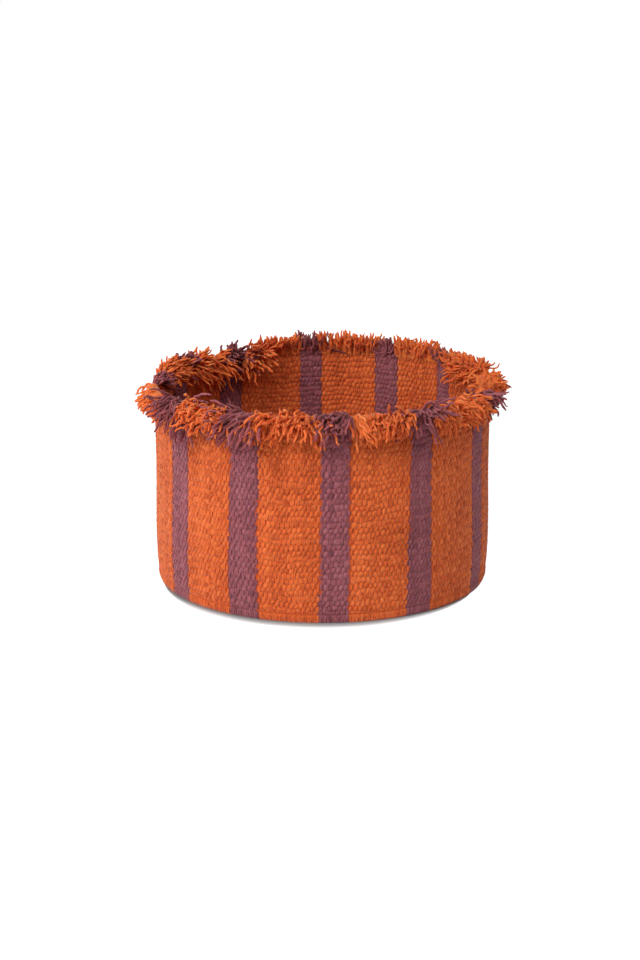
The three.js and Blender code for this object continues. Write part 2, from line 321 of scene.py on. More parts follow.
def cotton(name, dark, middle, bright, twist, bump, glow_depth=1.2 * MM, slit_shade=0.0):
    """Loosely spun cotton yarn, dyed in the hank, so its colour drifts along each yarn and from
    yarn to yarn. It is matt, with a faint sheen of fibre ends and the ridges of its twist, whose
    grooves are also painted a little darker as shade. Woven yarns press their sides together, and
    their colour is painted darker towards their sides as shade in the gaps between them."""
    material = bpy.data.materials.new(name)
    add = emptied(material)
    lay = add("ShaderNodeAttribute", attribute_name="lay")
    own = add("ShaderNodeAttribute", attribute_name="yarn").outputs["Fac"]
    place = add("ShaderNodeTexCoord").outputs["Object"]
    parts = add("separate", [lay.outputs["Vector"]]).outputs

    # Colour: one tone for each yarn, drift along it, painted shade in the grooves between its
    # plies, and dye that takes unevenly on the fibres
    shade = add("ShaderNodeTexWhiteNoise", {"W": own}, noise_dimensions="1D")
    along = add("*", [parts["Z"], 1 / DYE_DRIFT])
    drift_place = add("combine", [add("*", [own, DYE_SPREAD]), along, 0.0])
    drift = add("noise", [drift_place, 1.0, 2.0])
    flecks = add("noise", [place, 1 / FLECK, 3.0])
    cloud = add("noise", [place, 1 / CLOUD, 2.0])
    # Painted shade: the twist's grooves are coloured a little darker, and the same wave is the
    # bump's height
    turn = add("*+", [parts["Z"], -1 / twist, parts["X"]])
    ply = add("COSINE", [add("*", [turn, 2 * math.pi])])
    tone = add("*+", [ply, 0.08, 0.5])
    shades = (shade.outputs["Value"], 0.25), (drift, 0.6), (flecks, 0.6), (cloud, 0.4)
    for source, weight in shades:
        tone = add("*+", [add("-", [source, 0.5]), weight, tone])
    ramp = add("ShaderNodeValToRGB", [tone])
    stops = ramp.color_ramp.elements
    stops[0].position, stops[0].color = 0.2, linear(dark)
    stops[1].position, stops[1].color = 0.8, linear(bright)
    stops.new(0.5).color = linear(middle)
    # Painted shade: towards each float's sides the colour goes to the dark dye colour, as shade in
    # the gap between yarns
    sideways = add("ABSOLUTE", [parts["X"]])
    painted_slit_shade = add("smooth range", [sideways, 0.55, 0.85, 0.0, slit_shade])
    colour = add("mix", [painted_slit_shade, ramp, linear(dark)], data_type="RGBA")

    # Ridges of the twist, and single fibres on them
    fibres = add("noise", [place, 1 / FIBRE, 2.0])
    height = add("*+", [fibres, 1.2, ply])
    ridges = {"Height": height, "Strength": bump, "Distance": RIDGE_HEIGHT}
    shader = add(
        "ShaderNodeBsdfPrincipled",
        {
            "Base Color": colour,
            "Roughness": add("range", [fibres, 0.0, 1.0, 0.82, 1.0]),
            "Normal": add("ShaderNodeBump", ridges),
            "IOR": 1.5,
            "Specular IOR Level": 0.25,
            "Sheen Weight": 0.12,
            "Sheen Roughness": 0.5,
            "Subsurface Weight": 0.45,
            "Subsurface Radius": (1.0, 0.35, 0.15),
            "Subsurface Scale": glow_depth,
        },
    )
    add("ShaderNodeOutputMaterial", [shader])
    return material


# In the woven cloth the colour is painted darker at the yarns' sides, as shade between them
WOVEN = {"twist": 16 * MM, "bump": 0.7, "slit_shade": 0.45}
CUT_END = {"twist": 14 * MM, "bump": 0.7, "glow_depth": 3 * MM}
THREAD = {"twist": 3 * MM, "bump": 1.0}
CORD_SHADE = {"twist": 7 * MM, "bump": 0.6}

orange_cotton = cotton("orange_cotton_yarn_loosely_spun", "#9A3A0C", "#D26028", "#E2753A", **WOVEN)
plum_cotton = cotton("plum_cotton_yarn_loosely_spun", "#62303A", "#8F4D55", "#A05E66", **WOVEN)
# The cut ends are the same yarn. Untwisted, it is paler, and its colours are also painted lighter
# than the woven yarn's to offset the shade inside the tufts
orange_ends_lit = cotton(
    "orange_cotton_yarn_cut_ends_untwisted_and_painted_lighter", "#C4521B", "#EA6D2E", "#F68747", **CUT_END
)
plum_ends_lit = cotton(
    "plum_cotton_yarn_cut_ends_untwisted_and_painted_lighter", "#75383F", "#934B51", "#A55B62", **CUT_END
)
orange_thread = cotton(
    "orange_sewing_thread_hard_twisted", "#A23E17", "#BE5224", "#D26B3C", **THREAD
)
# The filling cords' colours are painted shade: the stripes' colours, darkened, for the gaps between
# yarns
orange_cord_shade = cotton(
    "orange_filling_cord_painted_shade", "#9A3A12", "#B4481B", "#C45524", **CORD_SHADE
)
plum_cord_shade = cotton("plum_filling_cord_painted_shade", "#5E2E35", "#723B42", "#84484F", **CORD_SHADE)


# How a tree of Geometry Nodes is made and run, and what several trees share

trees = {}


def new_tree(fill, sizes):
    """A tree with a named input for each size, filled with nodes whose last one gives its mesh."""
    tree = bpy.data.node_groups.new(fill.__name__, "GeometryNodeTree")
    tree.interface.new_socket("Geometry", in_out="OUTPUT", socket_type="NodeSocketGeometry")
    for size, value in sizes.items():
        kind = {int: "Int", float: "Float"}.get(type(value), "Material")
        tree.interface.new_socket(size, in_out="INPUT", socket_type="NodeSocket" + kind)
    add = adder(tree)
    given = add("NodeGroupInput").outputs
    smooth = add("GeometryNodeSetShadeSmooth", [fill(add, given)])
    real = add("GeometryNodeRealizeInstances", [smooth])
    dyed = add("GeometryNodeSetMaterial", {"Geometry": real, "Material": given["Material"]})
    add("NodeGroupOutput", [dyed])
    return tree


def grow(name, fill, sizes):
    """Runs a tree with these sizes, and keeps what it makes as a plain mesh."""
    if fill not in trees:
        trees[fill] = new_tree(fill, sizes)
    piece = bpy.data.objects.new(name, bpy.data.meshes.new(name + "_start"))
    bpy.context.scene.collection.objects.link(piece)
    growth = piece.modifiers.new("growth", "NODES")
    growth.node_group = trees[fill]
    for item in trees[fill].interface.items_tree:
        if item.in_out == "INPUT":
            growth[item.identifier] = sizes[item.name]
    graph = bpy.context.evaluated_depsgraph_get()
    made = bpy.data.meshes.new_from_object(piece.evaluated_get(graph))
    piece.modifiers.remove(growth)
    piece.data = made
    made.name = name
    return piece


def copies(add, thing, count, first=0.0):
    """Copies of a thing in one place, each of which has a number, "yarn", and that number."""
    line = add("GeometryNodeMeshLine", {"Count": count, "Offset": (0, 0, 0)})
    number = add("+", [add("GeometryNodeInputIndex"), first])
    points = add("store", {"Geometry": line, "Name": "yarn", "Value": number})
    placed = add("GeometryNodeInstanceOnPoints", {"Points": points, "Instance": thing})
    return add("GeometryNodeRealizeInstances", [placed]), add("read", ["yarn"])


def stepped_line(add, points):
    """A straight line of this many points, which is laid in its place later, and how far along it
    each of them is, from 0 to 1."""
    straight = add("GeometryNodeCurvePrimitiveLine", {"End": (0, 0, 1)})
    line = add("GeometryNodeResampleCurve", {"Curve": straight, "Count": points})
    return line, add("GeometryNodeSplineParameter").outputs["Factor"]


def round_place(add, radius, angle, height):
    """The place at a radius, at an angle round from the front, and at a height."""
    x = add("*", [radius, add("SINE", [angle])])
    back = add("*", [radius, add("COSINE", [angle])])
    return add("combine", [x, add("*", [back, -1.0]), height])


def tubes_along(add, lines, thickness, sides, swell):
    """Closed round tubes along lines that know how far along they are, as "long"."""
    size = {"Resolution": sides, "Radius": 1.0}
    ring = add("GeometryNodeCurvePrimitiveCircle", size, mode="RADIUS")
    on_ring = {"Geometry": ring, "Name": "section", "Value": add("position")}
    ring = add("store vector", on_ring)
    scale = add("*", [add("*", [thickness, 0.5]), swell])
    parts = {"Curve": lines, "Profile Curve": ring, "Scale": scale, "Fill Caps": True}
    tubes = add("GeometryNodeCurveToMesh", parts)
    section = add("separate", [add("read vector", ["section"])]).outputs
    lay = add("combine", [section["X"], section["Y"], add("read", ["long"])])
    return add("store vector", {"Geometry": tubes, "Name": "lay", "Value": lay})


# The wall's yarns

def out_of_straight(height):
    """How far the wall's cloth stands out of a straight cylinder at a height. It flares to the rim,
    sags outwards low down and is drawn in at the foot, where it is sewn round the base."""
    sag = SAG * math.exp(-(((height - SAG_HEIGHT) / SAG_REACH) ** 2))
    return FLARE * height / wall_height + sag - TUCK * math.exp(-height / TUCK_REACH)


def moved_out(add, height, radius):
    """The same for a node tree: the radius with out_of_straight added to it."""
    from_sag = add("-", [height, SAG_HEIGHT])
    from_sag = add("/", [from_sag, SAG_REACH])
    squared = add("*", [from_sag, from_sag])
    sag = add("EXPONENT", [add("*", [squared, -1.0])])
    tuck = add("EXPONENT", [add("*", [height, -1 / TUCK_REACH])])
    radius = add("*+", [height, FLARE / wall_height, radius])
    radius = add("*+", [sag, SAG, radius])
    return add("*+", [tuck, -TUCK, radius])


def weave(add, given, yarn, along, across, through, share_left=1.0):
    """A yarn's surface as it goes over one cord and under the next: how far it lies sideways of
    the yarn's own line, and how far out of the middle of the cloth."""
    level = add("/", [along, given["Row Pitch"]])
    drift_x = add("*", [yarn, DRIFT_PER_YARN])
    drift_y = add("*", [level, DRIFT_PER_ROW])
    drift_place = add("combine", [drift_x, drift_y, 0.0])
    drift = add("noise", [drift_place, 1.0, 2.0])
    turns = add("*+", [add("-", [drift, 0.5]), ROW_DRIFT, level])
    late_place = add("combine", [add("*", [yarn, LATE_SPREAD]), level, 9.0])
    late = add("noise", [late_place, 0.5, 0.0])
    turns = add("*+", [add("-", [late, 0.5]), LATENESS, turns])
    phase = add("*", [add("+", [turns, yarn]), math.pi])
    rise = add("SINE", [phase])
    fullness = add("POWER", [add("ABSOLUTE", [rise]), FLOAT_SWELL])
    rise = add("*", [add("SIGN", [rise]), fullness])

    # No two floats are alike: each differs in width, height and place
    place = add("combine", [add("*", [yarn, FLOAT_SPREAD]), turns, 0.0])
    uneven = add("noise", [place, 0.9, 1.0])
    centred = add("VECTOR_SUBTRACT", [uneven.outputs["Color"], (0.5, 0.5, 0.5)])
    scaled = add("VECTOR_SCALE", [centred, given["Unevenness"]])
    chance = add("separate", [scaled]).outputs

    width = add("mix", [fullness, given["Crossing Width"], given["Float Width"]])
    width_share = add("+", [chance["X"], share_left])
    half_width = add("*", [width, add("*", [width_share, 0.5])])

    # A float is pressed flat, so its top is broad and its sides are steep
    out_there = add("POWER", [add("ABSOLUTE", [across]), FLAT_TOP])
    across = add("*", [add("SIGN", [across]), out_there])
    slope = add("*", [add("COSINE", [phase]), given["Slant"]])
    wander = add("*+", [chance["Y"], STRAY, slope])
    own_side = add("*+", [across, half_width, add("*", [wander, -1.0])])

    relief = add("*", [add("+", [chance["Z"], 1.0]), given["Relief"]])
    half_thick = add("*", [given["Yarn Thickness"], 0.5])
    middle = add("*", [rise, relief])
    own_rise = add("*+", [through, half_thick, middle])
    return own_side, own_rise


def upright_yarns_of_the_wall(add, given):
    """The yarns of one stripe side by side, from the table to the rim."""
    steps = ROWS * STEPS_PER_ROW
    size = {"Vertices": YARN_SIDES, "Side Segments": steps, "Radius": 1.0, "Depth": 1.0}
    tubes, yarn = copies(add, add("tube", size), given["Yarns"], given["First Yarn"])
    spot = add("separate", [add("position")]).outputs
    share = add("+", [spot["Z"], 0.5])
    height = add("*", [share, given["Height"]])
    lay = add("combine", [spot["X"], spot["Y"], height])
    tubes = add("store vector", {"Geometry": tubes, "Name": "lay", "Value": lay})
    lay = add("separate", [add("read vector", ["lay"])]).outputs
    across, height = lay["X"], lay["Z"]
    outward = add("*", [lay["Y"], -1.0])

    # The angle at which the yarn stands
    own = add("-", [yarn, given["First Yarn"]])
    step = add("/", [given["Sweep"], given["Yarns"]])
    middle = add("+", [own, 0.5])
    angle = add("*+", [middle, step, given["First Angle"]])

    # The outermost yarns of a stripe are held in by the next stripe's
    from_middle = add("-", [middle, add("*", [given["Yarns"], 0.5])])
    to_edge = add("*+", [given["Yarns"], 0.5, -1.0])
    outermost = add("GREATER_THAN", [add("ABSOLUTE", [from_middle]), to_edge])
    share_left = add("*+", [outermost, -EDGE_NARROWING, 1.0])
    side, rise = weave(add, given, yarn, height, across, outward, share_left)

    # Below the seam all yarns lie outside, edge to edge, and turn in under the hem
    blend_low = add("-", [given["Seam Height"], HEM_BLEND_BELOW])
    blend_high = add("+", [given["Seam Height"], HEM_BLEND_ABOVE])
    above = add("smooth range", [height, blend_low, blend_high])
    curl = [height, 0.0, HEM_CURL_HEIGHT, HEM_CURL_LOW, HEM_CURL_HIGH]
    curl = add("range", curl, interpolation_type="SMOOTHERSTEP")
    half_thick = add("*", [given["Yarn Thickness"], 0.5])
    hem_rise = add("*+", [outward, half_thick, curl])
    hem_half = add("*", [given["Crossing Width"], HEM_HALF_WIDTH])
    hem_side = add("*", [across, hem_half])
    hem_up = add("*", [height, 0.3 / MM])
    hem_place = add("combine", [add("*", [yarn, HEM_SPREAD]), hem_up, 5.0])
    hem_noise = add("noise", [hem_place, 1.0, 1.0])
    hem_chance = add("VECTOR_SUBTRACT", [hem_noise.outputs["Color"], (0.5, 0.5, 0.5)])
    hem_chance = add("separate", [hem_chance]).outputs
    hem_side = add("*+", [hem_chance["X"], HEM_STRAY_SIDE, hem_side])
    hem_rise = add("*+", [hem_chance["Y"], HEM_STRAY_OUT, hem_rise])
    side = add("mix", [above, hem_side, side])
    rise = add("mix", [above, hem_rise, rise])

    # The stripes waver a little on their way up
    waver_x = add("*", [add("SINE", [angle]), WAVER_ROUND])
    waver_y = add("*", [add("COSINE", [angle]), WAVER_ROUND])
    waver_z = add("*", [height, WAVER_PER_METRE])
    waver_place = add("combine", [waver_x, waver_y, waver_z])
    waver = add("noise", [waver_place, 1.0, 2.0])
    side = add("*+", [add("-", [waver, 0.5]), WAVER, side])

    # The cloth isn't quite square, so the stripes lean, and some widen towards the base
    start_shift = add("mix", [share, given["Start Low"], given["Start High"]])
    end_shift = add("mix", [share, given["End Low"], given["End High"]])
    part = add("/", [middle, given["Yarns"]])
    side = add("+", [side, add("mix", [part, start_shift, end_shift])])

    # The seam pulls the cloth in
    from_seam = add("-", [height, given["Seam Height"]])
    near = add("/", [from_seam, GROOVE_HALF_WIDTH])
    squared = add("*", [near, near])
    pull = add("EXPONENT", [add("*", [squared, -1.0])])
    sunk = add("*+", [pull, add("*", [given["Seam Depth"], -1.0]), rise])

    radius = moved_out(add, height, add("+", [given["Middle Radius"], sunk]))
    turn = add("+", [add("/", [side, given["Middle Radius"]]), angle])
    place = round_place(add, radius, turn, height)
    return add("set position", {"Geometry": tubes, "Position": place})


def span(name):
    """The angles between which a stripe of the wall lies, and its least and most radius."""
    corners = [v.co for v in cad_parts[name].data.vertices]
    middle = math.atan2(sum(c.x for c in corners), -sum(c.y for c in corners))
    turns = [math.remainder(math.atan2(c.x, -c.y) - middle, 2 * math.pi) for c in corners]
    radii = [math.hypot(c.x, c.y) for c in corners]
    return middle + min(turns), middle + max(turns), min(radii), max(radii)


# How far each plum stripe's first and last border lie beside a straight one, in millimetres: both
# at the base, and then both at the rim
BORDER_SHIFTS = (
    (-1.2, -0.8, 0.2, 0.5), (0, 0, 3.2, -2.2), (4.5, 1.5, 0.5, -0.5), (0, 0, 0, 0),
    (7, -1.3, 7, -1.3), (2, -0.3, 2, -0.3), (1.3, -2.2, 1.3, -2.2), (0, 0, 0, 0),
    (0, 0, 0, 0), (0, 0, 0, 0), (-5, -3.5, 0, 1.5), (-3, -0.5, -0.5, 0.7),
)


def border_shifts(colour, number):
    """The shifts of a stripe's first and last border at the base, and then at the rim."""
    start_low, end_low, start_high, end_high = (s * MM for s in BORDER_SHIFTS[number - 1])
    if colour == "plum":
        return start_low, end_low, start_high, end_high
    after = [s * MM for s in BORDER_SHIFTS[number % STRIPES]]
    return end_low, after[0], end_high, after[2]


_, _, inner_radius, outer_radius = span("wall_plum_01")
wall_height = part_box("wall_plum_01")[1].z
middle_radius = (inner_radius + outer_radius) / 2
row_pitch = wall_height / ROWS
seam_low, seam_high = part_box("base_seam_thread_outside")

CLOTH = {
    "Row Pitch": row_pitch, "Float Width": 4.4 * MM, "Crossing Width": 2.1 * MM,
    "Slant": 0.18 * MM, "Unevenness": 1.2,
}

yarns_so_far = 0
for number in range(1, STRIPES + 1):
    for colour, material in (("plum", plum_cotton), ("orange", orange_cotton)):
        node = f"wall_{colour}_{number:02d}"
        start, end, _, _ = span(node)
        yarns = round((end - start) * middle_radius / YARN_PITCH)
        start_low, end_low, start_high, end_high = border_shifts(colour, number)
        sizes = CLOTH | {
            "Middle Radius": middle_radius, "Height": wall_height,
            "First Angle": start, "Sweep": end - start,
            "Yarns": yarns, "First Yarn": yarns_so_far,
            "Yarn Thickness": 1.6 * MM, "Relief": 0.75 * MM,
            "Seam Height": (seam_low.z + seam_high.z) / 2, "Seam Depth": 1.9 * MM,
            "Start Low": start_low, "Start High": start_high,
            "End Low": end_low, "End High": end_high,
            "Material": material,
        }
        piece = grow(node + "_yarns", upright_yarns_of_the_wall, sizes)
        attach(piece, "root")
        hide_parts(node)
        yarns_so_far += yarns


# The filling cords, which the yarns hide. They show only in the gaps between yarns, and are
# coloured as painted shade there: each stripe's colour, darkened.

def turned(name, profile, steps, material):
    """A closed skin made by turning a profile of (radius, height) points about the upright axis.
    A profile that starts and ends on the axis is closed there by one point."""
    mesh = bpy.data.meshes.new(name)
    piece = bpy.data.objects.new(name, mesh)
    bpy.context.scene.collection.objects.link(piece)
    work = bmesh.new()
    rings = []
    for radius, height in profile:
        corners = []
        for k in range(steps if radius > 0 else 1):
            angle = 2 * math.pi * k / steps
            place = radius * math.sin(angle), -radius * math.cos(angle), height
            corners.append(work.verts.new(place))
        rings.append(corners)
    on_axis = len(rings[0]) == 1
    for i in range(len(rings) - 1 if on_axis else len(rings)):
        low, high = rings[i], rings[(i + 1) % len(rings)]
        for k in range(steps):
            after = (k + 1) % steps
            corners = [low[k % len(low)], low[after % len(low)]]
            corners += [high[after % len(high)], high[k % len(high)]]
            work.faces.new(list(dict.fromkeys(corners)))
    bmesh.ops.recalc_face_normals(work, faces=work.faces)
    for face in work.faces:
        face.smooth = True
    work.to_mesh(mesh)
    work.free()
    mesh.materials.append(material)
    return piece


def wall_cord_profile():
    """Up the outside of the cords and down their inside, with one rib for each cord."""
    steps = ROWS * CORD_STEPS_PER_ROW
    tall = wall_height - CORD_LOW - CORD_TOP_GAP
    up, down = [], []
    for height in (CORD_LOW + tall * k / steps for k in range(steps + 1)):
        middle = middle_radius + out_of_straight(height)
        share_of_row = height * ROWS / wall_height % 1
        half = CORD_CORE + CORD_RIB * math.sin(math.pi * share_of_row) ** 2
        up.append((middle + half, height))
        down.append((middle - half, height))
    return up + down[::-1]


wall_cords = turned("wall_filling_cords", wall_cord_profile(), CORD_STEPS_ROUND, orange_cord_shade)
wall_cords.data.materials.append(plum_cord_shade)
# The cords under the plum stripes take the plum painted shade
plum_spans = [
    (*span(f"wall_plum_{n:02d}")[:2], *border_shifts("plum", n)) for n in range(1, STRIPES + 1)
]
for face in wall_cords.data.polygons:
    angle = math.atan2(face.center.x, -face.center.y)
    share = face.center.z / wall_height
    for start, end, start_low, end_low, start_high, end_high in plum_spans:
        low = start + (start_low + (start_high - start_low) * share) / middle_radius
        high = end + (end_low + (end_high - end_low) * share) / middle_radius
        if abs(math.remainder(angle - (low + high) / 2, 2 * math.pi)) < (high - low) / 2:
            face.material_index = 1
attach(wall_cords, "root")


# The base. The middle of its cloth's thickness lies flat this far out, bends up with this radius
# and then goes straight up.

base_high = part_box("base_cloth")[1]
base_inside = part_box("base_seam_thread_inside")[1].x
base_thickness = base_high.x - base_inside
base_bend = BASE_BEND_RADIUS - base_thickness / 2
base_flat = (base_high.x + base_inside) / 2 - base_bend
base_upright = base_high.z - base_thickness / 2 - base_bend
base_cloth_radius = base_flat + base_bend * math.pi / 2 + base_upright


def yarns_of_the_base(add, given):
    """The yarns of the round side by side. Each runs from edge to edge, so the outer are short."""
    steps = round(2 * base_cloth_radius / row_pitch * BASE_STEPS_PER_ROW)
    size = {"Vertices": BASE_SIDES, "Side Segments": steps, "Radius": 1.0, "Depth": 2.0}
    tubes, yarn = copies(add, add("tube", size), given["Yarns"])
    spot = add("separate", [add("position")]).outputs
    pitch = add("/", [given["Cloth Radius"], given["Yarns"]])
    twice = add("*+", [yarn, 2.0, 1.0])
    own_x = add("-", [add("*", [twice, pitch]), given["Cloth Radius"]])
    radius_squared = add("*", [given["Cloth Radius"], given["Cloth Radius"]])
    chord_squared = add("-", [radius_squared, add("*", [own_x, own_x])])
    chord = add("SQRT", [chord_squared])
    along = add("*", [spot["Z"], given["Cloth Radius"]])
    along = add("clamp", [along, add("*", [chord, -1.0]), chord])
    lay = add("combine", [spot["X"], spot["Y"], along])
    tubes = add("store vector", {"Geometry": tubes, "Name": "lay", "Value": lay})
    tubes = add("store", {"Geometry": tubes, "Name": "own_x", "Value": own_x})
    parts = add("separate", [add("read vector", ["lay"])]).outputs
    across = add("*", [parts["X"], -1.0])
    side, rise = weave(add, given, yarn, parts["Z"], across, parts["Y"])
    x = add("+", [add("read", ["own_x"]), side])

    # The edge of the round is turned up against the wall
    flat = add("combine", [x, parts["Z"], 0.0])
    distance = add("VECTOR_LENGTH", [flat]).outputs["Value"]
    outward = add("VECTOR_NORMALIZE", [flat])
    past = add("-", [distance, given["Flat Radius"]])
    in_bend = add("/", [past, given["Bend Radius"]])
    turn = add("clamp", [in_bend, 0.0, math.pi / 2])
    sine = add("SINE", [turn])
    cosine = add("COSINE", [turn])
    bend_length = add("*", [given["Bend Radius"], math.pi / 2])
    upright = add("MAXIMUM", [add("-", [past, bend_length]), 0.0])
    level = add("MINIMUM", [distance, given["Flat Radius"]])
    bent_out = add("*+", [sine, given["Bend Radius"], level])
    radius = add("-", [bent_out, add("*", [rise, sine])])
    bent_up = add("-", [1.0, cosine])
    lift = add("*+", [bent_up, given["Bend Radius"], given["Middle Height"]])
    up = add("*+", [rise, cosine, lift])
    height = add("MAXIMUM", [add("+", [up, upright]), 0.0])
    ring = add("VECTOR_SCALE", [outward, radius])
    place = add("VECTOR_ADD", [ring, add("combine", [0.0, 0.0, height])])
    woven = add("set position", {"Geometry": tubes, "Position": place})
    return add("GeometryNodeMergeByDistance", {"Geometry": woven, "Distance": SAME_PLACE})


sizes = CLOTH | {
    "Cloth Radius": base_cloth_radius, "Flat Radius": base_flat, "Bend Radius": base_bend,
    "Middle Height": base_thickness / 2, "Yarns": 160, "Yarn Thickness": 1.9 * MM,
    "Relief": 0.8 * MM, "Material": orange_cotton,
}
base = grow("base_cloth_yarns", yarns_of_the_base, sizes)
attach(base, "root")
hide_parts("base_cloth")

DISH_STEPS = 8
BEND_STEPS = 6
DISH_WIDENING = 3 * MM
DISH_TOP_GAP = 1.2 * MM


def dish(half):
    """Half of a thin dish's outline, from its centre out and up, this far outside the middle of
    the base's cloth."""
    flat_steps = (base_flat * k / DISH_STEPS for k in range(DISH_STEPS + 1))
    points = [(radius, base_thickness / 2 - half) for radius in flat_steps]
    for angle in (math.radians(90 / BEND_STEPS * k) for k in range(BEND_STEPS + 1)):
        radius = base_flat + (base_bend + half) * math.sin(angle)
        height = base_thickness / 2 + base_bend - (base_bend + half) * math.cos(angle)
        points.append((radius, height))
    return points


def base_cord_profile():
    """A thin dish in the middle of the base's cloth, from its centre out, up and back. Outside its
    edge is pressed against the wall's cords."""
    top = base_high.z - DISH_TOP_GAP
    wall_side = middle_radius - CORD_CORE
    outside = dish(CORD_CORE) + [(wall_side, base_bend + DISH_WIDENING), (wall_side, top)]
    inside = dish(-CORD_CORE) + [(base_flat + base_bend - CORD_CORE, top)]
    return outside + inside[::-1]


# The base's cords take the orange painted shade
base_cords = turned("base_filling_cords", base_cord_profile(), CORD_STEPS_ROUND, orange_cord_shade)
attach(base_cords, "root")


# The sewing

STITCH_SLANT = 0.25 * MM
STEPS_PER_STITCH = 8.0
ZIGZAG_SHARPNESS = 0.97


def running_stitches(add, given):
    """A round of running stitches. Each comes out of the cloth, lies on it and goes in again."""
    size = {"Vertices": 6, "Side Segments": 5, "Radius": 1.0, "Depth": 2.0}
    tubes, stitch = copies(add, add("tube", size), given["Stitches"])
    spot = add("separate", [add("position")]).outputs
    pitch = add("/", [2 * math.pi, given["Stitches"]])
    arc = add("*", [given["Ring Radius"], pitch])
    lay = add("combine", [spot["X"], spot["Y"], add("*", [spot["Z"], arc])])
    tubes = add("store vector", {"Geometry": tubes, "Name": "lay", "Value": lay})
    half = add("*", [given["Stitch Share"], 0.5])
    own = add("*+", [spot["Z"], half, stitch])
    angle = add("*", [own, pitch])
    bow = add("POWER", [add("ABSOLUTE", [spot["Z"]]), 3.0])
    thick = add("*", [given["Thickness"], 0.5])
    dip = add("*", [given["Dip"], -1.0])
    sunk = add("*+", [bow, dip, given["Ring Radius"]])
    radius = add("*+", [spot["X"], thick, sunk])
    height = add("*+", [spot["Y"], thick, given["Ring Height"]])
    slant = add("*+", [spot["Z"], STITCH_SLANT, height])
    place = round_place(add, radius, angle, slant)
    sewn = add("set position", {"Geometry": tubes, "Position": place})
    return add("GeometryNodeFlipFaces", [sewn])


def zigzag_side_seam(add, given):
    """One thread that goes to and fro over the edges of the wall's cloth, from base to rim."""
    count = add("*+", [given["Stitches"], STEPS_PER_STITCH, 1.0])
    line, along = stepped_line(add, count)
    rise = add("-", [given["High"], given["Low"]])
    height = add("*+", [along, rise, given["Low"]])
    turns = add("*", [along, given["Stitches"]])
    swing = add("COSINE", [add("*", [turns, math.pi])])
    flat_swing = add("ARCSINE", [add("*", [swing, ZIGZAG_SHARPNESS])])
    side_share = add("*", [flat_swing, 1 / math.asin(ZIGZAG_SHARPNESS)])
    half_width = add("*", [given["Stitch Width"], 0.5])
    side = add("*", [side_share, half_width])
    ends = add("POWER", [add("ABSOLUTE", [side_share]), 6.0])
    radius = add("-", [given["Seam Radius"], add("*", [ends, given["Dip"]])])
    radius = moved_out(add, height, radius)
    turn = add("+", [add("/", [side, radius]), given["Seam Angle"]])
    place = round_place(add, radius, turn, height)
    line = add("store", {"Geometry": line, "Name": "long", "Value": height})
    line = add("store", {"Geometry": line, "Name": "yarn", "Value": 1.0})
    laid = add("set position", {"Geometry": line, "Position": place})
    return tubes_along(add, laid, given["Thickness"], 6, 1.0)


for node, radius, dip in (
    ("base_seam_thread_outside", outer_radius - 1.75 * MM, 0.8 * MM),
    ("base_seam_thread_inside", base_inside + 0.1 * MM, -1.2 * MM),
    ("side_seam_thread_outside", outer_radius + 0.35 * MM, 1.1 * MM),
    ("side_seam_thread_inside", inner_radius - 0.35 * MM, -1.1 * MM),
):
    low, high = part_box(node)
    if node.startswith("base"):
        sizes = {
            "Ring Radius": radius, "Ring Height": (low.z + high.z) / 2, "Stitches": 260,
            "Stitch Share": 0.5, "Thickness": 0.9 * MM, "Dip": dip, "Material": orange_thread,
        }
        piece = grow(node + "_stitches", running_stitches, sizes)
    else:
        edge = span("wall_plum_09")[1]
        sizes = {
            "Seam Radius": radius, "Seam Angle": edge + (span("wall_orange_09")[0] - edge) / 2,
            "Low": low.z + 0.5 * MM, "High": high.z - 0.5 * MM,
            "Stitches": 33, "Stitch Width": 4 * MM,
            "Thickness": 0.95 * MM, "Dip": dip, "Material": orange_thread,
        }
        piece = grow(node + "_zigzag", zigzag_side_seam, sizes)
    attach(piece, "root")
    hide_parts(node)


# The fringe

